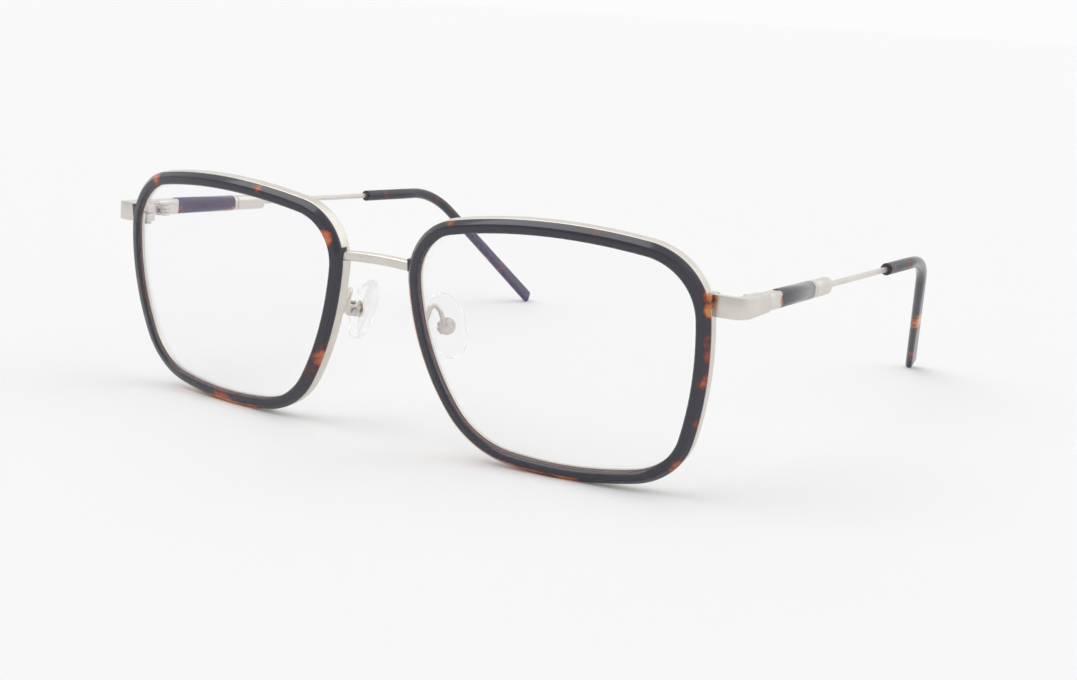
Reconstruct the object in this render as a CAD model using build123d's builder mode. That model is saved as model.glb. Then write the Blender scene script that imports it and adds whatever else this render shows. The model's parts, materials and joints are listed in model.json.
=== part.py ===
from build123d import *
import os
from math import cos, radians, sin, sqrt, tan

# Combination eyeglasses: a satin metal front and wire temples, with acetate rims, sleeves and tips.
# Millimetres and degrees. +X is the wearer's left, -Y is the way the wearer looks, +Z is up.
# The glasses stand, temples open, on the bottoms of the rims and the ends of the temple tips.
# The left half is modelled, and the right half is its mirror image in the YZ plane.
# Depths are measured backwards from the sphere that the fronts of both rims follow, and insets
# inwards from the outline of a rim.

# Clearances
seat_gap = 0.03  # between pieces that are glued, brazed, pressed or screwed together
turn_gap = 0.05  # round a pin, all the way round
side_gap = 0.06  # beside each hinge knuckle
seam_gap = 0.10  # between the endpiece and the open temple
fold_gap = 0.30  # between the knuckles and the inner side of the folded temple

# Front: where the two rims stand and how they lean
rim_center_x = 35.85  # from the middle of the bridge to the middle of a rim
face_wrap = 5.2  # each rim turns back towards its temple
rim_lean = 7.1  # the tops of the rims lean forwards
base_radius = 125.0  # the sphere of the lenses and rims

# Outline of a rim: four bowed sides through four corners, X towards the temple
corner_temple_top = (26.93, 19.38)
corner_nose_top = (-28.31, 18.28)
corner_nose_bottom = (-15.20, -20.90)
corner_temple_bottom = (23.70, -19.76)
bow_top = 4.08
bow_nose = 4.34
bow_bottom = 2.34
bow_temple = 3.16
round_temple_top = 13.3
round_nose_top = 11.3
round_nose_bottom = 17.1
round_temple_bottom = 12.7

# Lens: its edge bevel sits in a groove in the acetate
lens_front_depth = 0.55
lens_thickness = 1.80
lens_bevel = 0.45
lens_bevel_land = 0.10

# Acetate rim: a bead in front with sloped sides, and a body behind it inside the eyewire
bead_width = 2.35
bead_depth = 0.95
outer_slope_width = 0.80
outer_slope_depth = 0.70
inner_slope = 0.32
body_back_land = 0.07  # acetate behind the lens
body_depth = lens_front_depth + lens_thickness + body_back_land

# Metal eyewire: a wall round the acetate body and a lip behind it
eyewire_proud = 0.06
eyewire_wall = 0.58
eyewire_lip_thickness = 0.60
eyewire_depth = body_depth + seat_gap + eyewire_lip_thickness
eyewire_lip_reach = 0.15  # inwards past the acetate
eyewire_round = 0.20
rim_split = 0.30

# Bridge
bridge_lift = 11.52  # above the middle of a rim, at its ends
bridge_rise = 0.45  # of its middle
bridge_bow = 0.30  # of its middle, forwards
bridge_depth = 1.86  # middle of the bar behind the front of the rim
bridge_thickness = 1.75
bridge_width = 2.10  # front to back
bridge_round = 0.35

# Acetate lugs on the bead, beside the roots of the bridge and the endpieces
lug_inset = 0.45
lug_back_depth = 1.90
lug_cut_inset = 0.75  # of the eyewire wall, where the room for the endpiece starts
bridge_lug_reach = 0.35
bridge_lug_height = 2.25
bridge_lug_drop = 0.15
bridge_lug_front_depth = 0.60
endpiece_lug_reach = 0.40
endpiece_lug_height = 3.30
endpiece_lug_drop = 0.35
endpiece_lug_front_depth = 0.45

# Endpiece: leaves the eyewire, turns the corner and runs back to the hinge
endpiece_lift = 12.37  # above the middle of a rim
endpiece_depth = 1.56  # its front behind the front of the rim
endpiece_reach = 4.74  # from the rim out to the temple line
endpiece_length = 10.60  # from its front to the seam
endpiece_thickness = 2.50
endpiece_root_height = 3.80
endpiece_corner_height = 3.20
endpiece_end_height = 2.95
endpiece_outer_round = 2.60
endpiece_inner_round = 1.00
vent_diameter = 0.50
vent_depth = 0.55
vent_before_seam = 1.30

# Rim lock: two blocks on the cut ends of the eyewire, and their screw
lock_width = 2.00
lock_depth = 2.40
lock_height = 1.50
lock_inset = 0.15
lock_behind_rim = 0.05
lock_round = 0.50
lock_screw_diameter = 0.90
lock_head_diameter = 1.50
lock_head_height = 0.50
screw_slot = 0.30
screw_slot_depth = 0.15

# Temple line: a straight run from the seam, then the drop behind the ear
seam_drop = 0.10  # below the middle of the endpiece
seam_overrun = 1.0
temple_splay = 1.7  # inwards
temple_slope = 1.8  # downwards to the back
bend_run = 97.3  # from the seam to the corner of the drop
bend_angle = 41.3
bend_radius = 22.0
drop_twist = 17.75  # the drop turns inwards

# Hinge: two knuckles on the front, one on the temple, and a screw
knuckle_radius = 1.10
knuckle_height = 0.62
hinge_drop = 0.45  # below the middle of the temple
leaf_thickness = 0.90
leaf_length = 4.20
hinge_pin_diameter = 1.10
hinge_head_overlap = 0.40
hinge_head_height = 0.20

# Pieces along the temple: their sections, and their lengths from the seam backwards
fitting_length = 5.40
fitting_width = 2.60
fitting_height = 3.10
fitting_round = 0.70
sleeve_length = 17.00
sleeve_width = 2.70
sleeve_height = 3.40
sleeve_round = 1.25
ferrule_length = 10.00
ferrule_width = 2.60
ferrule_height = 3.25
ferrule_round = 1.20
ferrule_nose = 1.10
collar_length = 0.95
collar_groove = 0.15
wire_diameter = 1.15
wire_in_fitting = 3.90
wire_in_tip = 18.0

# Temple tip: round in front, and flat and wide at its end
tip_before_bend = 27.7  # from its front end to the corner of the drop
tip_diameter = 2.50
tip_round_length = 14.0  # the round stretch that a cord loop or an ear sleeve slides over
tip_bend_width = 2.15
tip_bend_height = 2.50
tip_end_width = 1.70
tip_end_height = 3.40
tip_end_length = 3.00
tip_end_round = 0.72
round_share = 0.48  # corner radius of a nearly round section, as a share of its width

# Nose pads: a silicone pad on a metal insert, which turns on a screw in the box on the arm
pad_offset = (0.79, 10.57, -0.34)  # middle of a pad from the nose edge of the rim
pad_facing = (-0.45, 0.88, -0.15)  # the way its nose side looks
pad_long_axis = (0.35, 0.02, -0.93)  # downwards along the pad
pad_length = 12.5
pad_width = 7.2
pad_thickness = 2.0
pad_round = 0.85
insert_diameter = 3.2
insert_thickness = 0.45
stem_width = 1.10  # along the screw
stem_thickness = 1.10
stem_play = 0.15  # beside the stem, in the box
box_gap = 0.60  # between the back of the pad and the box
box_width = 2.40  # along the screw
box_height = 2.20
box_depth = 2.10
box_floor = 0.45
pad_screw_depth = 0.80  # behind the mouth of the box
pad_screw_diameter = 0.70
pad_screw_head_diameter = 1.20
pad_screw_head_height = 0.30
pad_arm_diameter = 0.90
pad_arm_round = 0.80
pad_arm_offsets = [(0.79, 1.97, -1.64), (0.19, 4.67, 1.66), (0.39, 6.17, 4.86), (1.69, 6.77, 3.06)]


# Rims: their outline, their planes and their layers

with BuildSketch() as rim_outline:
    with BuildLine():
        SagittaArc(corner_temple_bottom, corner_temple_top, -bow_temple)
        SagittaArc(corner_temple_top, corner_nose_top, -bow_top)
        SagittaArc(corner_nose_top, corner_nose_bottom, -bow_nose)
        SagittaArc(corner_nose_bottom, corner_temple_bottom, -bow_bottom)
    make_face()
    for corner, radius in (
        (corner_temple_top, round_temple_top),
        (corner_nose_top, round_nose_top),
        (corner_nose_bottom, round_nose_bottom),
        (corner_temple_bottom, round_temple_bottom),
    ):
        fillet(rim_outline.vertices().sort_by_distance(corner)[0], radius)


def rim_frame(y, z):
    """The plane of the left rim, with its middle at the given place and its Z axis forwards."""
    outwards = Vector(cos(radians(face_wrap)), sin(radians(face_wrap)), 0)
    level_back = Vector(-sin(radians(face_wrap)), cos(radians(face_wrap)), 0)
    back = level_back * cos(radians(rim_lean)) + Vector(0, 0, 1) * sin(radians(rim_lean))
    return Plane(origin=(rim_center_x, y, z), x_dir=outwards, z_dir=-back)


def drawn_in(inset):
    """The outline of a rim, drawn in all round."""
    if inset == 0:
        return rim_outline.sketch
    return offset(rim_outline.sketch, amount=-inset, mode=Mode.PRIVATE)


def rim_edge(side, up):
    """The point of a rim's outline at a height in its own plane, on the nose (-1) or temple (1) side."""
    reach = 2 * rim_center_x
    chord = rim_outline.sketch.face().intersect(Edge.make_line((-reach, up), (reach, up)))
    ends = ShapeList(chord).vertices().sort_by(Axis.X)
    x = ends[-1].X if side > 0 else ends[0].X
    return Vector(x, up, sqrt(base_radius**2 - x**2 - up**2) - base_radius)


def rim_band(plane, outer_inset, inner_inset, front_depth, back_depth):
    """The band of a rim between two insets and two depths, or a whole disc if inner_inset is None."""
    reach = corner_temple_top[0]
    with BuildPart(plane) as band:
        with BuildSketch(plane.offset(reach / 2)):
            add(drawn_in(outer_inset))
            if inner_inset is not None:
                add(drawn_in(inner_inset), mode=Mode.SUBTRACT)
        extrude(amount=-reach)
        with Locations((0, 0, -base_radius)):
            Sphere(base_radius - front_depth, rotation=(90, 0, 0), mode=Mode.INTERSECT)
            Sphere(base_radius - back_depth, rotation=(90, 0, 0), mode=Mode.SUBTRACT)
    return band.part


def curved_faces(part, plane):
    """The spherical faces of a band, from the back to the front."""
    return part.faces().filter_by(GeomType.SPHERE).sort_by(Axis(plane.origin, plane.z_dir))


# Directions of the temple and of its drop
temple_back = Vector(
    -sin(radians(temple_splay)) * cos(radians(temple_slope)),
    cos(radians(temple_splay)) * cos(radians(temple_slope)),
    -sin(radians(temple_slope)),
)
temple_in = Vector(-cos(radians(temple_splay)), -sin(radians(temple_splay)), 0)
temple_up = temple_back.cross(temple_in)
drop_side = temple_in * sin(radians(drop_twist)) - temple_up * cos(radians(drop_twist))
drop_back = temple_back * cos(radians(bend_angle)) + drop_side * sin(radians(bend_angle))
drop_across = drop_side * cos(radians(bend_angle)) - temple_back * sin(radians(bend_angle))
bend_normal = temple_back.cross(drop_side)


def tip_end_reach(along, across):
    """How far the tip's rounded end reaches past the middle of its end face, in a direction that has
    these components along and across the drop."""
    corner = tip_end_height / 2 - tip_end_round
    return corner * abs(across) + tip_end_round * (sqrt(along**2 + across**2) - along)


# The rims are set down on the table, and the origin is put halfway between their front and the tips
trial_plane = rim_frame(0, 0)
trial_edge = rim_band(trial_plane, 0, bead_width, outer_slope_depth, bead_depth)
trial_face = rim_band(trial_plane, outer_slope_width, bead_width, 0, bead_depth)
rim_height = -trial_edge.bounding_box().min.Z
front_reach = -trial_face.bounding_box().min.Y

endpiece_up = endpiece_lift / trial_plane.y_dir.Z
bridge_up = bridge_lift / trial_plane.y_dir.Z
endpiece_height = rim_height + endpiece_lift
bridge_height = rim_height + bridge_lift
seam_height = endpiece_height - seam_drop
drop_fall = seam_height + temple_back.Z * bend_run - tip_end_reach(-drop_back.Z, drop_across.Z)
drop_length = drop_fall / -drop_back.Z
seam_setback = trial_plane.from_local_coords(rim_edge(1, endpiece_up)).Y + endpiece_depth + endpiece_length
tip_setback = seam_setback + temple_back.Y * bend_run + drop_back.Y * drop_length
back_reach = tip_setback + tip_end_reach(drop_back.Y, drop_across.Y)

rim_plane = rim_frame((front_reach - back_reach) / 2, rim_height)
split_point = rim_plane.from_local_coords(rim_edge(1, endpiece_up))
bridge_root = rim_plane.from_local_coords(rim_edge(-1, bridge_up))
nose_edge = rim_plane.from_local_coords(rim_edge(-1, 0))
endpiece_y = split_point.Y + endpiece_depth
seam_point = Vector(split_point.X + endpiece_reach, endpiece_y + endpiece_length, seam_height)


def temple_section(run):
    """The plane across the temple at a distance behind the seam: X inwards, Y up, Z to the back."""
    return Plane(origin=seam_point + temple_back * run, x_dir=temple_in, z_dir=temple_back)


def straight_bar(start, end, draw, *sizes):
    """A bar along the temple line with one section, drawn by a sketch function, between two runs."""
    with BuildPart() as bar:
        with BuildSketch(temple_section(start)):
            draw(*sizes)
        extrude(amount=end - start)
    return bar.part


# Lens and acetate rim

def lens_blank(extra):
    """The lens with its edge bevel, or the hollow that it fits when it is grown by a clearance."""
    front = lens_front_depth - extra
    back = lens_front_depth + lens_thickness + extra
    slope = (back - front - lens_bevel_land) / 2
    with BuildPart() as blank:
        add(rim_band(rim_plane, bead_width + seat_gap - lens_bevel - extra, None, front, back))
        for face in (curved_faces(blank, rim_plane)[0], curved_faces(blank, rim_plane)[-1]):
            chamfer(face.outer_wire().edges(), length=lens_bevel + extra, length2=slope, reference=face)
    return blank.part


def rim_lug(side, up, reach, height, drop, front_depth):
    """A lug on the bead, from just inside the outline to a reach outside it."""
    edge = rim_edge(side, up)
    with BuildPart() as lug:
        with BuildSketch(rim_plane.offset(edge.Z - front_depth)):
            with Locations((edge.X + side * (reach - lug_inset) / 2, edge.Y - drop)):
                Rectangle(reach + lug_inset, height)
        extrude(amount=front_depth - lug_back_depth)
    return lug.part


def bridge_bar(extra):
    """The bridge from one rim's wall to the other's, or the room it needs."""
    root_x = bridge_root.X + eyewire_wall
    y = bridge_root.Y + bridge_depth
    with BuildPart() as bar:
        with BuildLine() as path:
            ThreePointArc(
                (-root_x, y, bridge_height),
                (0, y - bridge_bow, bridge_height + bridge_rise),
                (root_x, y, bridge_height),
            )
        with BuildSketch(Plane(origin=path.line @ 0, x_dir=(0, 1, 0), z_dir=path.line % 0)):
            RectangleRounded(bridge_width + 2 * extra, bridge_thickness + 2 * extra, bridge_round)
        sweep(path=path.line)
    return bar.part


rim_room = rim_band(rim_plane, -eyewire_proud - seat_gap, None, -bead_depth, eyewire_depth + seat_gap)
eyewire_room = rim_band(
    rim_plane,
    -eyewire_proud - seat_gap,
    eyewire_wall + seat_gap,
    bead_depth,
    eyewire_depth + seat_gap,
)

with BuildPart() as lens:
    add(lens_blank(0))

with BuildPart() as acetate_rim:
    add(rim_band(rim_plane, 0, bead_width, 0, bead_depth))
    bead_front = curved_faces(acetate_rim, rim_plane)[-1]
    chamfer(
        bead_front.outer_wire().edges(),
        length=outer_slope_width,
        length2=outer_slope_depth,
        reference=bead_front,
    )
    bead_front = curved_faces(acetate_rim, rim_plane)[-1]
    chamfer(bead_front.inner_wires()[0].edges(), length=inner_slope)
    add(rim_band(rim_plane, eyewire_wall + seat_gap, bead_width, bead_depth, body_depth))
    add(
        rim_lug(
            -1,
            bridge_up,
            bridge_lug_reach,
            bridge_lug_height,
            bridge_lug_drop,
            bridge_lug_front_depth,
        )
    )
    add(
        rim_lug(
            1,
            endpiece_up,
            endpiece_lug_reach,
            endpiece_lug_height,
            endpiece_lug_drop,
            endpiece_lug_front_depth,
        )
    )
    add(eyewire_room, mode=Mode.SUBTRACT)
    add(lens_blank(seat_gap), mode=Mode.SUBTRACT)
    add(bridge_bar(seat_gap), mode=Mode.SUBTRACT)
    # the temple-side lug ends at the front of the endpiece
    with Locations((split_point.X - lug_cut_inset * eyewire_wall, endpiece_y - seat_gap, endpiece_height)):
        Box(
            2 * endpiece_lug_reach,
            2 * lug_back_depth,
            2 * endpiece_lug_height,
            align=(Align.MIN, Align.MIN, Align.CENTER),
            mode=Mode.SUBTRACT,
        )


# Eyewire, cut through behind the endpiece, and the rim lock that closes it

with BuildPart() as eyewire:
    add(rim_band(rim_plane, -eyewire_proud, eyewire_wall, bead_depth + seat_gap, eyewire_depth))
    add(
        rim_band(
            rim_plane,
            eyewire_wall,
            bead_width + eyewire_lip_reach,
            body_depth + seat_gap,
            eyewire_depth,
        )
    )
    for face in (curved_faces(eyewire, rim_plane)[0], curved_faces(eyewire, rim_plane)[-1]):
        fillet(face.outer_wire().edges(), eyewire_round)
    with Locations(split_point):
        Box(4 * bead_width, 4 * eyewire_depth, rim_split, mode=Mode.SUBTRACT)

lock_plane = Plane(
    origin=(
        split_point.X - lock_inset - lock_width / 2,
        split_point.Y + eyewire_depth + lock_behind_rim + lock_depth / 2,
        endpiece_height,
    )
)


def lock_block(direction):
    """One block of the rim lock, above (1) or below (-1) the cut."""
    with BuildPart() as block:
        with BuildSketch(lock_plane.offset(direction * rim_split / 2)):
            RectangleRounded(lock_width, lock_depth, lock_round)
            Circle(lock_screw_diameter / 2 + seat_gap, mode=Mode.SUBTRACT)
        extrude(amount=direction * lock_height)
        add(rim_room, mode=Mode.SUBTRACT)
    return block.part


def screw(head_plane, shank_diameter, shank_length, head_diameter, head_height):
    """A slotted screw whose head stands on a plane, with its shank going down from it."""
    with BuildPart() as body:
        with BuildSketch(head_plane):
            Circle(shank_diameter / 2)
        extrude(amount=-shank_length)
        with BuildSketch(head_plane):
            Circle(head_diameter / 2)
        extrude(amount=head_height)
        with Locations(head_plane.offset(head_height)):
            Box(head_diameter, screw_slot, 2 * screw_slot_depth, mode=Mode.SUBTRACT)
    return body.part


with BuildPart() as rim_lock_upper:
    add(lock_block(1))

with BuildPart() as rim_lock_lower:
    add(lock_block(-1))

lock_bottom = lock_plane.offset(-rim_split / 2 - lock_height - seat_gap)
lock_bottom_down = Plane(origin=lock_bottom.origin, x_dir=(1, 0, 0), z_dir=(0, 0, -1))

with BuildPart() as rim_lock_screw:
    shank = rim_split + 2 * lock_height + seat_gap
    add(screw(lock_bottom_down, lock_screw_diameter, shank, lock_head_diameter, lock_head_height))


# Bridge

with BuildPart() as bridge:
    add(bridge_bar(0))
    add(rim_room, mode=Mode.SUBTRACT)
    mirror(rim_room, about=Plane.YZ, mode=Mode.SUBTRACT)


# Endpiece: an L from above, and tapering to the seam from the side

def outer_x(y):
    """The temple line's outer side, carried forwards or backwards to a place along Y."""
    return seam_point.X + fitting_width / 2 + (seam_point.Y - y) * tan(radians(temple_splay))


root_x = split_point.X - lock_inset + seat_gap  # beside the rim lock
crook_y = endpiece_y + endpiece_thickness
past_seam_y = seam_point.Y + seam_overrun
corner_point = (outer_x(endpiece_y), endpiece_y)
crook_point = (outer_x(endpiece_y) - fitting_width, crook_y)

with BuildPart() as endpiece:
    with BuildSketch() as plan:
        with BuildLine():
            Polyline(
                (root_x, endpiece_y),
                corner_point,
                (outer_x(past_seam_y), past_seam_y),
                (outer_x(past_seam_y) - fitting_width, past_seam_y),
                crook_point,
                (root_x, crook_y),
                close=True,
            )
        make_face()
        fillet(plan.vertices().sort_by_distance(corner_point)[0], endpiece_outer_round)
        fillet(plan.vertices().sort_by_distance(crook_point)[0], endpiece_inner_round)
    extrude(amount=2 * seam_height)
    with BuildSketch(Plane.YZ):
        with BuildLine():
            Polyline(
                (endpiece_y - seam_overrun, endpiece_height + endpiece_root_height / 2),
                (crook_y, endpiece_height + endpiece_corner_height / 2),
                (past_seam_y, seam_height + endpiece_end_height / 2),
                (past_seam_y, seam_height - endpiece_end_height / 2),
                (crook_y, endpiece_height - endpiece_corner_height / 2),
                (endpiece_y - seam_overrun, endpiece_height - endpiece_root_height / 2),
                close=True,
            )
        make_face()
    extrude(amount=2 * seam_point.X, mode=Mode.INTERSECT)
    split(bisect_by=temple_section(0), keep=Keep.BOTTOM)
    add(rim_room, mode=Mode.SUBTRACT)
    with Locations((seam_point.X, seam_point.Y - vent_before_seam, seam_height + endpiece_end_height / 2)):
        Cylinder(vent_diameter / 2, 2 * vent_depth, mode=Mode.SUBTRACT)


# Hinge: knuckles joined by necks to a leaf on the endpiece, or on the temple

hinge_offset = fitting_width / 2 + fold_gap + knuckle_radius
hinge_middle = seam_point + temple_in * hinge_offset - temple_up * hinge_drop
hinge_plane = Plane(origin=hinge_middle, x_dir=temple_in, z_dir=temple_up)
leaf_face = fitting_width / 2 + seat_gap - hinge_offset  # across the hinge, from its axis
knuckle_pitch = knuckle_height + side_gap
hinge_height = 2 * knuckle_pitch + knuckle_height


def hinge_half(forward, steps, bore_gap):
    """A leaf before (1) or behind (-1) the axis, with a knuckle at each step above the middle one."""
    neck_end = forward * (knuckle_radius + fold_gap)
    with BuildPart() as half:
        with BuildSketch(hinge_plane.offset(-hinge_height / 2)):
            with BuildLine():
                Polyline(
                    (leaf_face, neck_end),
                    (leaf_face, forward * leaf_length),
                    (leaf_face + leaf_thickness, forward * leaf_length),
                    (leaf_face + leaf_thickness, neck_end),
                    close=True,
                )
            make_face()
        extrude(amount=hinge_height)
        for step in steps:
            with BuildSketch(hinge_plane.offset(step * knuckle_pitch - knuckle_height / 2)):
                Circle(knuckle_radius)
                with BuildLine():
                    Polyline(
                        (leaf_face, forward * seam_gap),
                        (leaf_face, neck_end),
                        (0, neck_end),
                        (0, forward * seam_gap),
                        close=True,
                    )
                make_face()
            extrude(amount=knuckle_height)
        with Locations(hinge_plane):
            Cylinder(hinge_pin_diameter / 2 + bore_gap, 2 * hinge_height, mode=Mode.SUBTRACT)
    return half.part


with BuildPart() as hinge_front:
    add(hinge_half(1, (-1, 1), seat_gap))

with BuildPart() as hinge_temple:
    add(hinge_half(-1, (0,), turn_gap))

with BuildPart() as hinge_screw:
    add(
        screw(
            hinge_plane.offset(hinge_height / 2 + seat_gap),
            hinge_pin_diameter,
            hinge_height + seat_gap,
            hinge_pin_diameter + 2 * hinge_head_overlap,
            hinge_head_height,
        )
    )


# Temple: the wire runs from the fitting through the sleeve and the ferrule into the tip

wire_start = fitting_length - wire_in_fitting
sleeve_end = fitting_length + sleeve_length
tip_start = bend_run - tip_before_bend
wire_end = tip_start + wire_in_tip
wire_room = straight_bar(wire_start - seat_gap, wire_end + seat_gap, Circle, wire_diameter / 2 + seat_gap)

with BuildPart() as temple_wire:
    add(straight_bar(wire_start, wire_end, Circle, wire_diameter / 2))

with BuildPart() as temple_fitting:
    with BuildSketch(temple_section(seam_gap)):
        RectangleRounded(fitting_width, endpiece_end_height, fitting_round)
    with BuildSketch(temple_section(fitting_length)):
        RectangleRounded(fitting_width, fitting_height, fitting_round)
    loft()
    add(wire_room, mode=Mode.SUBTRACT)

with BuildPart() as temple_sleeve:
    with BuildSketch(temple_section(fitting_length + seat_gap)):
        RectangleRounded(sleeve_width, sleeve_height, sleeve_round)
    extrude(amount=sleeve_length - 2 * seat_gap)
    add(wire_room, mode=Mode.SUBTRACT)

with BuildPart() as temple_ferrule:
    with BuildSketch(temple_section(sleeve_end)):
        RectangleRounded(ferrule_width, ferrule_height, ferrule_round)
    extrude(amount=ferrule_length)
    fillet(temple_ferrule.faces().sort_by(Axis.Y)[-1].edges(), ferrule_nose)
    with BuildSketch(temple_section(sleeve_end + collar_length)):
        RectangleRounded(2 * ferrule_width, 2 * ferrule_height, ferrule_round)
        RectangleRounded(
            ferrule_width - 2 * collar_groove,
            ferrule_height - 2 * collar_groove,
            ferrule_round - collar_groove,
            mode=Mode.SUBTRACT,
        )
    extrude(amount=collar_groove, mode=Mode.SUBTRACT)
    add(wire_room, mode=Mode.SUBTRACT)

bend_setback = bend_radius * tan(radians(bend_angle / 2))  # from the bend's corner to its ends
bend_corner = temple_section(bend_run).origin
bend_start = temple_section(bend_run - bend_setback).origin
bend_center = bend_start + drop_side * bend_radius


bend_end = bend_corner + drop_back * bend_setback
tip_end = bend_corner + drop_back * drop_length


def across_bend(origin, direction):
    """The plane of a section of the tip: its X axis lies across the plane of the bend."""
    return Plane(origin=origin, x_dir=bend_normal, z_dir=direction)


tip_front_plane = across_bend(temple_section(tip_start).origin, temple_back)
bend_start_plane = across_bend(bend_start, temple_back)
bend_end_plane = across_bend(bend_end, drop_back)
tip_end_plane = across_bend(tip_end, drop_back)
tip_bend_round = tip_bend_width * round_share
tip_corner = tip_end_width * round_share

with BuildPart() as tip_paddle:
    with BuildSketch(tip_end_plane):
        RectangleRounded(tip_end_width, tip_end_height, tip_corner)
    extrude(amount=-tip_end_length)
    fillet(tip_paddle.faces().sort_by(Axis(bend_corner, drop_back))[-1].edges(), tip_end_round)

with BuildPart() as temple_tip:
    with BuildSketch(tip_front_plane):
        Circle(tip_diameter / 2)
    extrude(amount=tip_round_length)
    with BuildSketch(tip_front_plane.offset(tip_round_length)):
        RectangleRounded(tip_diameter, tip_diameter, tip_diameter * round_share)
    with BuildSketch(bend_start_plane):
        RectangleRounded(tip_bend_width, tip_bend_height, tip_bend_round)
    loft()
    with BuildSketch(bend_start_plane):
        RectangleRounded(tip_bend_width, tip_bend_height, tip_bend_round)
    revolve(axis=Axis(bend_center, bend_normal), revolution_arc=bend_angle)
    with BuildSketch(bend_end_plane):
        RectangleRounded(tip_bend_width, tip_bend_height, tip_bend_round)
    with BuildSketch(tip_end_plane.offset(-tip_end_length)):
        RectangleRounded(tip_end_width, tip_end_height, tip_corner)
    loft()
    add(tip_paddle.part)
    add(wire_room, mode=Mode.SUBTRACT)


# Nose pad, with the metal insert that turns on a screw in the box at the end of the arm

pad_middle = nose_edge + Vector(pad_offset)
pad_plane = Plane(origin=pad_middle, x_dir=Vector(pad_long_axis), z_dir=Vector(pad_facing))
pad_back = pad_plane.offset(-pad_thickness / 2)
box_mouth = pad_back.offset(-box_gap)
pad_screw_plane = Plane(
    origin=box_mouth.offset(-pad_screw_depth).origin,
    x_dir=pad_plane.x_dir,
    z_dir=pad_plane.y_dir,
)

with BuildPart() as nose_pad:
    with BuildSketch(pad_back):
        Ellipse(pad_length / 2, pad_width / 2)
    extrude(amount=pad_thickness)
    fillet(nose_pad.edges(), pad_round)
    with BuildSketch(pad_back):
        Circle(insert_diameter / 2 + seat_gap)
    extrude(amount=insert_thickness + 2 * seat_gap, mode=Mode.SUBTRACT)

with BuildPart() as pad_insert:
    with BuildSketch(pad_back.offset(seat_gap)):
        Circle(insert_diameter / 2)
    extrude(amount=insert_thickness)
    with BuildSketch(pad_screw_plane.offset(-stem_width / 2)):
        Circle(stem_thickness / 2)
        with Locations((0, -(pad_screw_depth + box_gap) / 2)):
            Rectangle(stem_thickness, pad_screw_depth + box_gap + 2 * seat_gap)
    extrude(amount=stem_width)
    with Locations(pad_screw_plane):
        Cylinder(pad_screw_diameter / 2 + turn_gap, 2 * stem_width, mode=Mode.SUBTRACT)

with BuildPart() as pad_box:
    with BuildSketch(box_mouth):
        Rectangle(box_height, box_width)
    extrude(amount=-box_depth)
    with BuildSketch(box_mouth):
        Rectangle(2 * box_height, stem_width + 2 * stem_play)
    extrude(amount=box_floor - box_depth, mode=Mode.SUBTRACT)
    with Locations(pad_screw_plane):
        Cylinder(pad_screw_diameter / 2 + seat_gap, 2 * box_width, mode=Mode.SUBTRACT)

with BuildPart() as pad_screw:
    with BuildSketch(pad_screw_plane.offset(-box_width / 2)):
        Circle(pad_screw_diameter / 2)
    extrude(amount=box_width + seat_gap)
    with BuildSketch(pad_screw_plane.offset(box_width / 2 + seat_gap)):
        Circle(pad_screw_head_diameter / 2)
    extrude(amount=pad_screw_head_height)

with BuildPart() as pad_arm:
    with BuildLine() as arm_path:
        FilletPolyline(
            *[nose_edge + Vector(arm_offset) for arm_offset in pad_arm_offsets],
            box_mouth.offset(box_floor / 2 - box_depth).origin,
            radius=pad_arm_round,
        )
    with BuildSketch(Plane(origin=arm_path.line @ 0, z_dir=arm_path.line % 0)):
        Circle(pad_arm_diameter / 2)
    sweep(path=arm_path.line)
    add(rim_room, mode=Mode.SUBTRACT)
    with BuildSketch(box_mouth):
        Rectangle(box_height + 2 * seat_gap, box_width + 2 * seat_gap)
    extrude(amount=-box_depth - seat_gap, mode=Mode.SUBTRACT)


# Write every piece of the left half and its mirror image

left_pieces = {
    "acetate_rim": acetate_rim,
    "eyewire": eyewire,
    "lens": lens,
    "rim_lock_upper": rim_lock_upper,
    "rim_lock_lower": rim_lock_lower,
    "rim_lock_screw": rim_lock_screw,
    "endpiece": endpiece,
    "hinge_front": hinge_front,
    "hinge_screw": hinge_screw,
    "hinge_temple": hinge_temple,
    "temple_fitting": temple_fitting,
    "temple_sleeve": temple_sleeve,
    "temple_ferrule": temple_ferrule,
    "temple_wire": temple_wire,
    "temple_tip": temple_tip,
    "nose_pad": nose_pad,
    "pad_insert": pad_insert,
    "pad_screw": pad_screw,
    "pad_box": pad_box,
    "pad_arm": pad_arm,
}

os.makedirs("parts", exist_ok=True)
bridge.part.label = "bridge"
export_step(bridge.part, "parts/bridge.step")
for name, piece in left_pieces.items():
    piece.part.label = name + "_left"
    export_step(piece.part, "parts/" + name + "_left.step")
    with BuildPart() as twin:
        mirror(piece.part, about=Plane.YZ)
    twin.part.label = name + "_right"
    export_step(twin.part, "parts/" + name + "_right.step")

print("hinge axis, left:", hinge_plane.origin, temple_up)
print("pad screw axis, left:", pad_screw_plane.origin, pad_screw_plane.z_dir)
print("middle of a rim:", rim_plane.origin)
print("tip front:", tip_front_plane.origin, temple_back)
print("bridge root:", bridge_root, "split:", split_point, "nose edge:", nose_edge)
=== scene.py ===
import json
from math import hypot, radians

import bpy
from mathutils import Matrix, Vector

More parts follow.
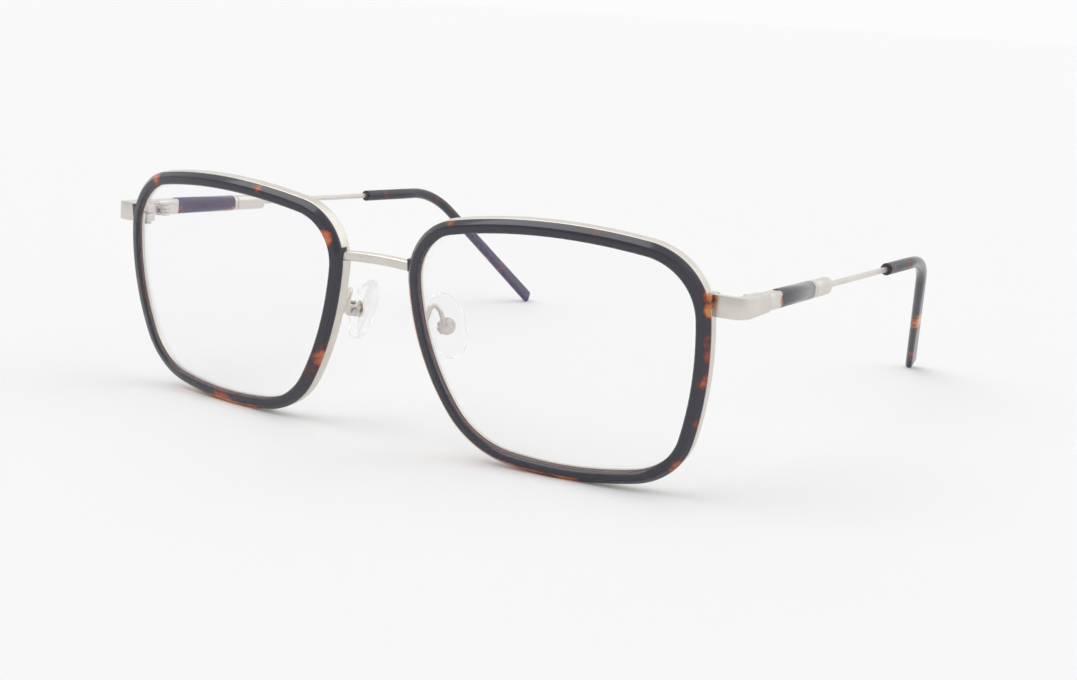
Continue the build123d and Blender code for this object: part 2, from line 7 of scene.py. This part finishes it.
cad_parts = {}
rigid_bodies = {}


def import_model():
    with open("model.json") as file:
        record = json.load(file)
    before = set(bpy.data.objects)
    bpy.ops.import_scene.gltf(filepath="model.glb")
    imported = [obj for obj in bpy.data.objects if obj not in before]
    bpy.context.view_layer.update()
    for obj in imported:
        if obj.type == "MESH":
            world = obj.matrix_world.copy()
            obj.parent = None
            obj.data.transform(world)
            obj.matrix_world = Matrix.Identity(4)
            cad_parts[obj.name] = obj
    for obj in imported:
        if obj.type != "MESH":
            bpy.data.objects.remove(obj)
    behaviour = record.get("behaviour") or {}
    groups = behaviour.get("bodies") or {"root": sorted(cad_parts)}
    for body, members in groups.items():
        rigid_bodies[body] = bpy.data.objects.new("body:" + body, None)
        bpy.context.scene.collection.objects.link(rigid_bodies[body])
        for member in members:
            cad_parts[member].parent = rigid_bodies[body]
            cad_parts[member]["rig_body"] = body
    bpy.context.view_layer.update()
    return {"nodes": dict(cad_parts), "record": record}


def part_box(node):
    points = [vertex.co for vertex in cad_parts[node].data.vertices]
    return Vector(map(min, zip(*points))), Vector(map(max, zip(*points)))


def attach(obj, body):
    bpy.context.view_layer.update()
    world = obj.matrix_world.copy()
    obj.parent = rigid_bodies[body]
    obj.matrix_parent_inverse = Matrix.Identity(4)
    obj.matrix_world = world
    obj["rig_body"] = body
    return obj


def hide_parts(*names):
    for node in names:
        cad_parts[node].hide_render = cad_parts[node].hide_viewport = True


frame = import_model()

# Combination eyeglasses standing on a pale table: satin metal front and temples, tortoise acetate
# rims, sleeves and tips, clear lenses and silicone nose pads. Metres, in the frame of the CAD model.

MM = 0.001

# Camera
CAMERA_PLACE = Vector((168.4, -304.6, 80.4)) * MM
CAMERA_HEADING = 30.0
CAMERA_PITCH = -11.72
CAMERA_ROLL = 3.74
CAMERA_LENS = 53.74  # on a sensor 36 wide

# Table and light
TABLE_SIZE = 60.0
TABLE_COLOR = (0.975, 0.975, 0.975)
TABLE_SPECKLE = tuple(0.995 * value for value in TABLE_COLOR)
BACKGROUND_COLOR = (0.972, 0.972, 0.972)
ROOM_BRIGHT = (1.0, 1.0, 1.0)  # what metal and acetate reflect from above and behind
ROOM_DIM = (0.50, 0.50, 0.52)  # and from the front, low down
ROOM_TOP = Vector((0.0, 0.6, 0.8))  # the way to its brightest part
SKY_STRENGTH = 0.60
DAYLIGHTS = (  # direction that each lamp stands in, width of its disc in degrees, and strength
    (Vector((-0.4, -0.5, 1.0)), 50.0, 0.95),
    (Vector((0.7, 0.4, 0.9)), 70.0, 0.45),
)

# Tortoise: how fine its clouds are and how warm it is, in the rims and in the temples, and how much
# warmer the outer slope of a rim is painted, as a painted glow of light, most of all on the lit side
# of the rim
RIM_CLOUDS = 120.0
RIM_WARMTH = -0.15
TEMPLE_CLOUDS = 260.0
TEMPLE_WARMTH = -0.06
PAINTED_SLOPE_GLOW = 0.03
PAINTED_LIT_SLOPE_GLOW = 0.36
# the side of a rim whose outer slope gets the strongest painted glow of light
LIT_SLOPE_DIRECTION = Vector((-0.75, 0.0, -0.66))
RIM_FRONT = Vector((0.0, -0.99, -0.12))  # the way that the front of a rim faces

# How much the clear pieces cover what is behind them, and how much of a shadow they cast
LENS_SHADOW = 0.07
PAD_COVER = 0.34
PAD_SHADOW = 0.04

# Edges broken on the CAD shapes
FINE_EDGE = 0.06 * MM
EDGE_STEPS = 2
SMOOTH_ANGLE = radians(32)
WELD = 0.001 * MM
LENS_SIDE = 0.8  # part of a lens face's normal along y from which it belongs to a curved side
FRONT_PULL = 0.3  # how much a place further forward counts for, when a point of a rim is looked for

SIDES = ("left", "right")


# Small helpers for node trees

def socket_value(node, name, value):
    """Sets a named input of a node."""
    node.inputs[name].default_value = value


def new_material(name):
    """A material with an empty Principled shader, its node tree and that shader."""
    material = bpy.data.materials.new(name)
    material.use_nodes = True
    return material, material.node_tree, material.node_tree.nodes["Principled BSDF"]


def new_group(name, inputs, outputs):
    """A shader node group with named inputs (name, kind, value) and outputs (name, kind)."""
    group = bpy.data.node_groups.new(name, "ShaderNodeTree")
    for label, kind, value in inputs:
        socket = group.interface.new_socket(label, in_out="INPUT", socket_type="NodeSocket" + kind)
        if value is not None:
            socket.default_value = value
    for label, kind in outputs:
        group.interface.new_socket(label, in_out="OUTPUT", socket_type="NodeSocket" + kind)
    return group, group.nodes.new("NodeGroupInput"), group.nodes.new("NodeGroupOutput")


def place_group(tree, group, **values):
    """A node that uses a group, with its own values; an underscore in a name stands for a space."""
    node = tree.nodes.new("ShaderNodeGroup")
    node.node_tree = group
    for label, value in values.items():
        node.inputs[label.replace("_", " ")].default_value = value
    return node


def maths(tree, operation, first, second, third=None):
    """A Math node whose inputs are sockets or numbers; returns its output."""
    node = tree.nodes.new("ShaderNodeMath")
    node.operation = operation
    for index, source in enumerate((first, second, third)):
        if isinstance(source, bpy.types.NodeSocket):
            tree.links.new(source, node.inputs[index])
        elif source is not None:
            node.inputs[index].default_value = source
    return node.outputs[0]


def vector_maths(tree, operation, first, second):
    """A Vector Math node of a socket with another socket or a vector; returns the node."""
    node = tree.nodes.new("ShaderNodeVectorMath")
    node.operation = operation
    tree.links.new(first, node.inputs[0])
    if isinstance(second, bpy.types.NodeSocket):
        tree.links.new(second, node.inputs[1])
    else:
        node.inputs[1].default_value = second
    return node


def noise(tree, vector, scale, detail, roughness=0.5, distortion=0.0):
    """A noise texture on a vector; returns its value."""
    node = tree.nodes.new("ShaderNodeTexNoise")
    tree.links.new(vector, node.inputs["Vector"])
    if isinstance(scale, bpy.types.NodeSocket):
        tree.links.new(scale, node.inputs["Scale"])
    else:
        node.inputs["Scale"].default_value = scale
    node.inputs["Detail"].default_value = detail
    node.inputs["Roughness"].default_value = roughness
    node.inputs["Distortion"].default_value = distortion
    return node.outputs["Fac"]


def smooth_step(tree, value, low, high, start=0.0, end=1.0):
    """Goes smoothly from start to end while a value goes from low to high."""
    node = tree.nodes.new("ShaderNodeMapRange")
    node.interpolation_type = "SMOOTHSTEP"
    tree.links.new(value, node.inputs["Value"])
    for label, number in (("From Min", low), ("From Max", high), ("To Min", start), ("To Max", end)):
        node.inputs[label].default_value = number
    return node.outputs["Result"]


def color_ramp(tree, value, stops):
    """A colour ramp through (place, colour) stops; returns its colour."""
    node = tree.nodes.new("ShaderNodeValToRGB")
    tree.links.new(value, node.inputs["Fac"])
    elements = node.color_ramp.elements
    for place, color in stops[1:-1]:
        elements.new(place).color = (*color, 1)
    elements[0].position = stops[0][0]
    elements[0].color = (*stops[0][1], 1)
    elements[-1].position = stops[-1][0]
    elements[-1].color = (*stops[-1][1], 1)
    return node.outputs["Color"]


def bump(tree, shader, height, strength, distance):
    """Feeds a height into a shader's normal through a Bump node."""
    node = tree.nodes.new("ShaderNodeBump")
    node.inputs["Strength"].default_value = strength
    node.inputs["Distance"].default_value = distance
    tree.links.new(height, node.inputs["Height"])
    tree.links.new(node.outputs["Normal"], shader.inputs["Normal"])


# Effects that several finishes share

def make_tortoise_group():
    """Tortoise acetate: near-black brown with red and amber clouds that have soft, drawn-out edges."""
    group, entry, leave = new_group(
        "tortoise clouds",
        (("Vector", "Vector", None), ("Warmth", "Float", 0.0), ("Cloud Scale", "Float", 120.0)),
        (("Color", "Color"), ("Height", "Float")),
    )
    vector = entry.outputs["Vector"]
    clouds = noise(group, vector, entry.outputs["Cloud Scale"], 2.0, 0.45, 0.5)
    streaks = noise(group, vector, 520.0, 3.0, 0.55, 1.2)
    flecks = noise(group, vector, 1900.0, 2.0)
    field = maths(group, "MULTIPLY_ADD", streaks, 0.30, clouds)
    field = maths(group, "MULTIPLY_ADD", flecks, 0.06, field)
    field = maths(group, "ADD", field, entry.outputs["Warmth"])
    color = color_ramp(
        group,
        maths(group, "SUBTRACT", field, 0.20),
        (
            (0.50, (0.020, 0.018, 0.032)),
            (0.56, (0.042, 0.016, 0.018)),
            (0.62, (0.120, 0.024, 0.014)),
            (0.70, (0.400, 0.072, 0.020)),
            (0.82, (0.620, 0.230, 0.045)),
        ),
    )
    group.links.new(color, leave.inputs["Color"])
    group.links.new(noise(group, vector, 700.0, 2.0), leave.inputs["Height"])
    return group


def make_satin_group():
    """Satin plating: a fine blasted grain over slow, faint unevenness."""
    group, entry, leave = new_group(
        "satin grain",
        (("Vector", "Vector", None), ("Grain Scale", "Float", 9000.0), ("Smoothness", "Float", 0.3)),
        (("Roughness", "Float"), ("Height", "Float"), ("Shade", "Float")),
    )
    vector = entry.outputs["Vector"]
    grain = noise(group, vector, entry.outputs["Grain Scale"], 3.0, 0.7)
    patches = noise(group, vector, 260.0, 2.0)
    rough = maths(group, "MULTIPLY_ADD", patches, 0.10, entry.outputs["Smoothness"])
    rough = maths(group, "MULTIPLY_ADD", grain, 0.05, rough)
    group.links.new(rough, leave.inputs["Roughness"])
    group.links.new(grain, leave.inputs["Height"])
    group.links.new(smooth_step(group, patches, 0.3, 0.7), leave.inputs["Shade"])
    return group


tortoise_group = make_tortoise_group()
satin_group = make_satin_group()


# Finishes

def object_vector(tree):
    """The object coordinates."""
    return tree.nodes.new("ShaderNodeTexCoord").outputs["Object"]


def warm_places(tree, vector, places):
    """Warmth near each (point, radius, warmth) of a list, in metres."""
    total = None
    for point, radius, warmth in places:
        apart = vector_maths(tree, "DISTANCE", vector, point).outputs["Value"]
        near = smooth_step(tree, apart, 0.25 * radius, radius, warmth, 0.0)
        total = near if total is None else maths(tree, "MAXIMUM", total, near)
    return total


def painted_slope_glow(tree, vector, middle):
    """Painted glow of light: warmth where the surface turns from the front and looks outwards from the
    middle of its rim, most of all on the lit side.
    """
    normal = tree.nodes.new("ShaderNodeTexCoord").outputs["Normal"]
    spoke = vector_maths(tree, "SUBTRACT", vector, middle).outputs["Vector"]
    normalize = tree.nodes.new("ShaderNodeVectorMath")
    normalize.operation = "NORMALIZE"
    tree.links.new(spoke, normalize.inputs[0])
    spoke_direction = normalize.outputs["Vector"]
    facing = vector_maths(tree, "DOT_PRODUCT", normal, RIM_FRONT).outputs["Value"]
    outwards = vector_maths(tree, "DOT_PRODUCT", normal, spoke_direction).outputs["Value"]
    lit_side = vector_maths(tree, "DOT_PRODUCT", spoke_direction, LIT_SLOPE_DIRECTION).outputs["Value"]
    turned = smooth_step(tree, facing, 0.80, 0.94, 1.0, 0.0)
    outside = smooth_step(tree, outwards, 0.10, 0.40)
    warmth = smooth_step(tree, lit_side, 0.0, 0.75, PAINTED_SLOPE_GLOW, PAINTED_LIT_SLOPE_GLOW)
    return maths(tree, "MULTIPLY", maths(tree, "MULTIPLY", turned, outside), warmth)


def tortoise_finish(name, cloud_scale, base_warmth, places, shift, middle=None):
    """Polished tortoise acetate, warmer at places and, with a middle, with a painted glow of light on
    the outer slope round it.
    """
    material, tree, shader = new_material(name)
    vector = object_vector(tree)
    moved = vector_maths(tree, "ADD", vector, shift)
    warmth = maths(tree, "ADD", warm_places(tree, vector, places), base_warmth)
    if middle is not None:
        # painted glow of light on the outer slope, added to the acetate's own warmth
        warmth = maths(tree, "ADD", painted_slope_glow(tree, vector, middle), warmth)
    clouds = place_group(tree, tortoise_group, Cloud_Scale=cloud_scale)
    tree.links.new(moved.outputs["Vector"], clouds.inputs["Vector"])
    tree.links.new(warmth, clouds.inputs["Warmth"])
    tree.links.new(clouds.outputs["Color"], shader.inputs["Base Color"])
    rough = maths(tree, "MULTIPLY_ADD", clouds.outputs["Height"], 0.10, 0.13)
    tree.links.new(rough, shader.inputs["Roughness"])
    bump(tree, shader, clouds.outputs["Height"], 0.05, 0.02 * MM)
    socket_value(shader, "IOR", 1.49)
    socket_value(shader, "Coat Weight", 0.35)
    socket_value(shader, "Coat Roughness", 0.06)
    return material


def metal_finish(name, light, dark, smoothness, grain_scale, grain_strength):
    """Plated metal with a fine grain."""
    material, tree, shader = new_material(name)
    grain = place_group(tree, satin_group, Grain_Scale=grain_scale, Smoothness=smoothness)
    tree.links.new(object_vector(tree), grain.inputs["Vector"])
    color = color_ramp(tree, grain.outputs["Shade"], ((0.0, dark), (1.0, light)))
    tree.links.new(color, shader.inputs["Base Color"])
    tree.links.new(grain.outputs["Roughness"], shader.inputs["Roughness"])
    bump(tree, shader, grain.outputs["Height"], grain_strength, 0.01 * MM)
    socket_value(shader, "Metallic", 1.0)
    return material


def lens_finish():
    """Clear coated lens; it casts only a faint shadow, and a painted reflection of its coating tints
    it purple where it is seen edge-on.
    """
    material, tree, shader = new_material("coated lens")
    smudge = noise(tree, object_vector(tree), 90.0, 3.0)
    tree.links.new(smooth_step(tree, smudge, 0.45, 0.75, 0.0, 0.02), shader.inputs["Roughness"])
    # painted reflection: the coating's purple sheen, put into the lens colour, strongest where the
    # lens is seen edge-on
    weight = tree.nodes.new("ShaderNodeLayerWeight")
    socket_value(weight, "Blend", 0.35)
    tint = color_ramp(
        tree,
        weight.outputs["Facing"],
        ((0.0, (0.985, 0.985, 0.99)), (0.6, (0.97, 0.955, 0.985)), (1.0, (0.90, 0.86, 0.95))),
    )
    tree.links.new(tint, shader.inputs["Base Color"])
    light_path = tree.nodes.new("ShaderNodeLightPath")
    seen = maths(tree, "MULTIPLY_ADD", light_path.outputs["Is Shadow Ray"], LENS_SHADOW - 1.0, 1.0)
    tree.links.new(seen, shader.inputs["Alpha"])
    socket_value(shader, "Transmission Weight", 1.0)
    socket_value(shader, "IOR", 1.50)
    socket_value(shader, "Specular Tint", (0.62, 0.38, 1.0, 1.0))
    return material


def lens_edge_finish():
    """The ground edge of a lens: matt, and brownish, a painted reflection of the acetate round it."""
    material, tree, shader = new_material("ground lens edge")
    grit = noise(tree, object_vector(tree), 6000.0, 2.0)
    # painted reflection of the brown acetate round the lens
    color = color_ramp(tree, grit, ((0.0, (0.19, 0.13, 0.12)), (1.0, (0.29, 0.20, 0.19))))
    tree.links.new(color, shader.inputs["Base Color"])
    tree.links.new(smooth_step(tree, grit, 0.3, 0.7, 0.5, 0.7), shader.inputs["Roughness"])
    return material


def silicone_finish():
    """Clear soft silicone with a slightly dull skin."""
    material, tree, shader = new_material("clear silicone")
    skin = noise(tree, object_vector(tree), 1500.0, 2.0)
    tree.links.new(smooth_step(tree, skin, 0.3, 0.7, 0.05, 0.14), shader.inputs["Roughness"])
    tint = color_ramp(tree, skin, ((0.0, (0.985, 0.985, 0.98)), (1.0, (0.965, 0.97, 0.97))))
    tree.links.new(tint, shader.inputs["Base Color"])
    light_path = tree.nodes.new("ShaderNodeLightPath")
    shadow_ray = light_path.outputs["Is Shadow Ray"]
    seen = maths(tree, "MULTIPLY_ADD", shadow_ray, PAD_SHADOW - PAD_COVER, PAD_COVER)
    tree.links.new(seen, shader.inputs["Alpha"])
    socket_value(shader, "Transmission Weight", 1.0)
    socket_value(shader, "IOR", 1.41)
    return material


def rim_point(side, middle, across, up):
    """The point of a rim's front nearest to a place, in millimetres from the middle of the rim."""
    x = middle.x + (across if side == "left" else -across) * MM
    z = middle.z + up * MM
    points = [vertex.co for vertex in frame["nodes"]["acetate_rim_" + side].data.vertices]
    return min(points, key=lambda point: hypot(point.x - x, point.z - z) + FRONT_PULL * point.y).copy()


def temple_point(side, x, y, z):
    """A point of a temple, in metres, from millimetres on the wearer's left."""
    return Vector((x if side == "left" else -x, y, z)) * MM


WARM_SPOTS = {  # outwards, upwards and radius in millimetres, from the middle of a rim, and warmth
    "left": (
        (28.0, 13.2, 2.3, 0.46),
        (28.2, 11.2, 2.4, 0.46),
        (28.6, 6.0, 2.8, 0.24),
        (28.6, 3.4, 2.8, 0.24),
        (28.4, -0.8, 2.8, 0.16),
        (27.6, -9.0, 3.2, 0.22),
        (24.5, -19.0, 3.6, 0.24),
        (-18.5, 21.8, 2.6, 0.38),
        (-18.5, -19.8, 4.5, 0.20),
    ),
    "right": (
        (20.0, 21.0, 3.5, 0.32),
        (-9.0, 22.3, 2.6, 0.28),
        (28.2, 8.0, 3.2, 0.28),
        (28.2, -3.0, 3.0, 0.22),
        (-25.0, 14.5, 2.8, 0.28),
        (-24.0, -9.5, 2.8, 0.26),
        (-18.5, -19.0, 2.8, 0.24),
        (4.0, -22.3, 5.0, 0.34),
    ),
}
# Warm spots of the temples: place and radius in millimetres, and warmth
SLEEVE_FRONT_SPOT = (67.9, -51.6, 34.2, 2.6, 0.30)
TIP_SPOT = (59.3, 59.0, 15.0, 4.0, 0.40)
TEMPLE_SPOTS = {"left": (SLEEVE_FRONT_SPOT, TIP_SPOT), "right": (SLEEVE_FRONT_SPOT,)}
# Where each side's tortoise pattern is cut from, in metres
PATTERN_SHIFTS = {"left": (0.013, 0.004, 0.021), "right": (0.031, 0.002, -0.017)}

finishes = {}
for side in SIDES:
    low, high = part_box("acetate_rim_" + side)
    rim_middle = (Vector(low) + Vector(high)) / 2
    rim_spots = [
        (rim_point(side, rim_middle, across, up), radius * MM, warmth)
        for across, up, radius, warmth in WARM_SPOTS[side]
    ]
    temple_spots = [
        (temple_point(side, x, y, z), radius * MM, warmth)
        for x, y, z, radius, warmth in TEMPLE_SPOTS[side]
    ]
    shift = PATTERN_SHIFTS[side]
    finishes["acetate_rim_" + side] = tortoise_finish(
        "tortoise rim, " + side, RIM_CLOUDS, RIM_WARMTH, rim_spots, shift, rim_middle
    )
    temple_tortoise = tortoise_finish(
        "tortoise temple, " + side, TEMPLE_CLOUDS, TEMPLE_WARMTH, temple_spots, shift
    )
    finishes["temple_sleeve_" + side] = temple_tortoise
    finishes["temple_tip_" + side] = temple_tortoise
satin_metal = metal_finish("satin metal", (0.71, 0.675, 0.62), (0.66, 0.625, 0.57), 0.27, 9000.0, 0.10)
screw_steel = metal_finish("screw steel", (0.62, 0.61, 0.59), (0.56, 0.55, 0.54), 0.18, 5000.0, 0.05)
coated_lens = lens_finish()
ground_edge = lens_edge_finish()
clear_silicone = silicone_finish()
slot_finish = {
    "satin_metal": satin_metal,
    "screw_steel": screw_steel,
    "lens": coated_lens,
    "silicone": clear_silicone,
}


# Pieces: the CAD shapes, welded, with their edges broken and their curves shaded smoothly

def select_only(piece):
    """Makes a piece the active one, and the only one selected."""
    bpy.ops.object.select_all(action="DESELECT")
    piece.select_set(True)
    bpy.context.view_layer.objects.active = piece


def finished_copy(node, slot_name, edge):
    """A welded copy of a CAD node with broken edges; it stands for the node and rides on its body."""
    part = frame["nodes"][node]
    body = part["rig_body"]
    piece = bpy.data.objects.new(node + "_finished", part.data.copy())
    bpy.context.scene.collection.objects.link(piece)
    select_only(piece)
    bpy.ops.object.mode_set(mode="EDIT")
    bpy.ops.mesh.select_all(action="SELECT")
    bpy.ops.mesh.remove_doubles(threshold=WELD)
    bpy.ops.object.mode_set(mode="OBJECT")
    bpy.ops.mesh.customdata_custom_splitnormals_clear()
    if edge:
        bevel = piece.modifiers.new("broken edges", "BEVEL")
        bevel.width = edge
        bevel.segments = EDGE_STEPS
        bevel.limit_method = "ANGLE"
        bevel.angle_limit = SMOOTH_ANGLE
        bevel.harden_normals = False
        bpy.ops.object.modifier_apply(modifier=bevel.name)
    bpy.ops.object.shade_smooth_by_angle(angle=SMOOTH_ANGLE)
    piece.data.materials.clear()
    piece.data.materials.append(finishes[node] if node in finishes else slot_finish[slot_name])
    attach(piece, body)
    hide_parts(node)
    return piece


def grind_edge(lens):
    """Gives the edge of a lens its own finish: the faces that look away from its two curved sides."""
    lens.data.materials.append(ground_edge)
    for face in lens.data.polygons:
        face.material_index = int(abs(face.normal.y) < LENS_SIDE)


for subpart in frame["record"]["subparts"]:
    node_slot = subpart["material_slot"]
    finished_piece = finished_copy(subpart["node"], node_slot, 0 if node_slot == "lens" else FINE_EDGE)
    if node_slot == "lens":
        grind_edge(finished_piece)


# Table, light and camera

def make_table():
    """A pale table that runs to the horizon."""
    bpy.ops.object.select_all(action="DESELECT")
    bpy.ops.mesh.primitive_plane_add(size=TABLE_SIZE)
    table = bpy.context.object
    table.name = "table"
    material, tree, shader = new_material("pale table")
    speckle = noise(tree, object_vector(tree), 40.0, 2.0)
    color = color_ramp(tree, speckle, ((0.0, TABLE_COLOR), (1.0, TABLE_SPECKLE)))
    tree.links.new(color, shader.inputs["Base Color"])
    socket_value(shader, "Roughness", 0.7)
    table.data.materials.append(material)


def make_sky():
    """Even light from all round, a room for gloss to reflect, and a pale background."""
    world = bpy.data.worlds.new("pale surroundings")
    bpy.context.scene.world = world
    world.use_nodes = True
    tree = world.node_tree
    light = tree.nodes["Background"]
    socket_value(light, "Color", (1.0, 1.0, 1.0, 1.0))
    socket_value(light, "Strength", SKY_STRENGTH)
    seen = tree.nodes.new("ShaderNodeBackground")
    socket_value(seen, "Color", (*BACKGROUND_COLOR, 1.0))
    direction = tree.nodes.new("ShaderNodeTexCoord").outputs["Generated"]
    lean = vector_maths(tree, "DOT_PRODUCT", direction, ROOM_TOP).outputs["Value"]
    brightness = smooth_step(tree, lean, -0.75, 0.45)
    room_color = color_ramp(tree, brightness, ((0.0, ROOM_DIM), (1.0, ROOM_BRIGHT)))
    room = tree.nodes.new("ShaderNodeBackground")
    tree.links.new(room_color, room.inputs["Color"])
    light_path = tree.nodes.new("ShaderNodeLightPath")
    camera_ray = light_path.outputs["Is Camera Ray"]
    direct = maths(tree, "MAXIMUM", camera_ray, light_path.outputs["Is Transmission Ray"])
    reflected = tree.nodes.new("ShaderNodeMixShader")
    tree.links.new(light_path.outputs["Is Glossy Ray"], reflected.inputs["Fac"])
    tree.links.new(light.outputs["Background"], reflected.inputs[1])
    tree.links.new(room.outputs["Background"], reflected.inputs[2])
    mix = tree.nodes.new("ShaderNodeMixShader")
    tree.links.new(direct, mix.inputs["Fac"])
    tree.links.new(reflected.outputs["Shader"], mix.inputs[1])
    tree.links.new(seen.outputs["Background"], mix.inputs[2])
    tree.links.new(mix.outputs["Shader"], tree.nodes["World Output"].inputs["Surface"])


def make_daylights():
    """Two broad, soft lamps that light the table evenly to its far edge."""
    for number, (direction, width, strength) in enumerate(DAYLIGHTS):
        lamp = bpy.data.lights.new(f"daylight {number + 1}", "SUN")
        lamp.angle = radians(width)
        lamp.energy = strength
        light = bpy.data.objects.new(lamp.name, lamp)
        light.matrix_world = direction.to_track_quat("Z", "Y").to_matrix().to_4x4()
        bpy.context.scene.collection.objects.link(light)


def make_camera():
    """The camera, seen a little from above and from the wearer's left."""
    camera = bpy.data.objects.new("camera", bpy.data.cameras.new("camera"))
    camera.data.lens = CAMERA_LENS
    camera.data.clip_start = 0.01
    camera.data.clip_end = 2 * TABLE_SIZE
    camera.matrix_world = (
        Matrix.Translation(CAMERA_PLACE)
        @ Matrix.Rotation(radians(CAMERA_HEADING), 4, "Z")
        @ Matrix.Rotation(radians(90 + CAMERA_PITCH), 4, "X")
        @ Matrix.Rotation(radians(CAMERA_ROLL), 4, "Z")
    )
    bpy.context.scene.collection.objects.link(camera)
    bpy.context.scene.camera = camera


make_table()
make_sky()
make_daylights()
make_camera()
bpy.context.scene.view_settings.view_transform = "Standard"
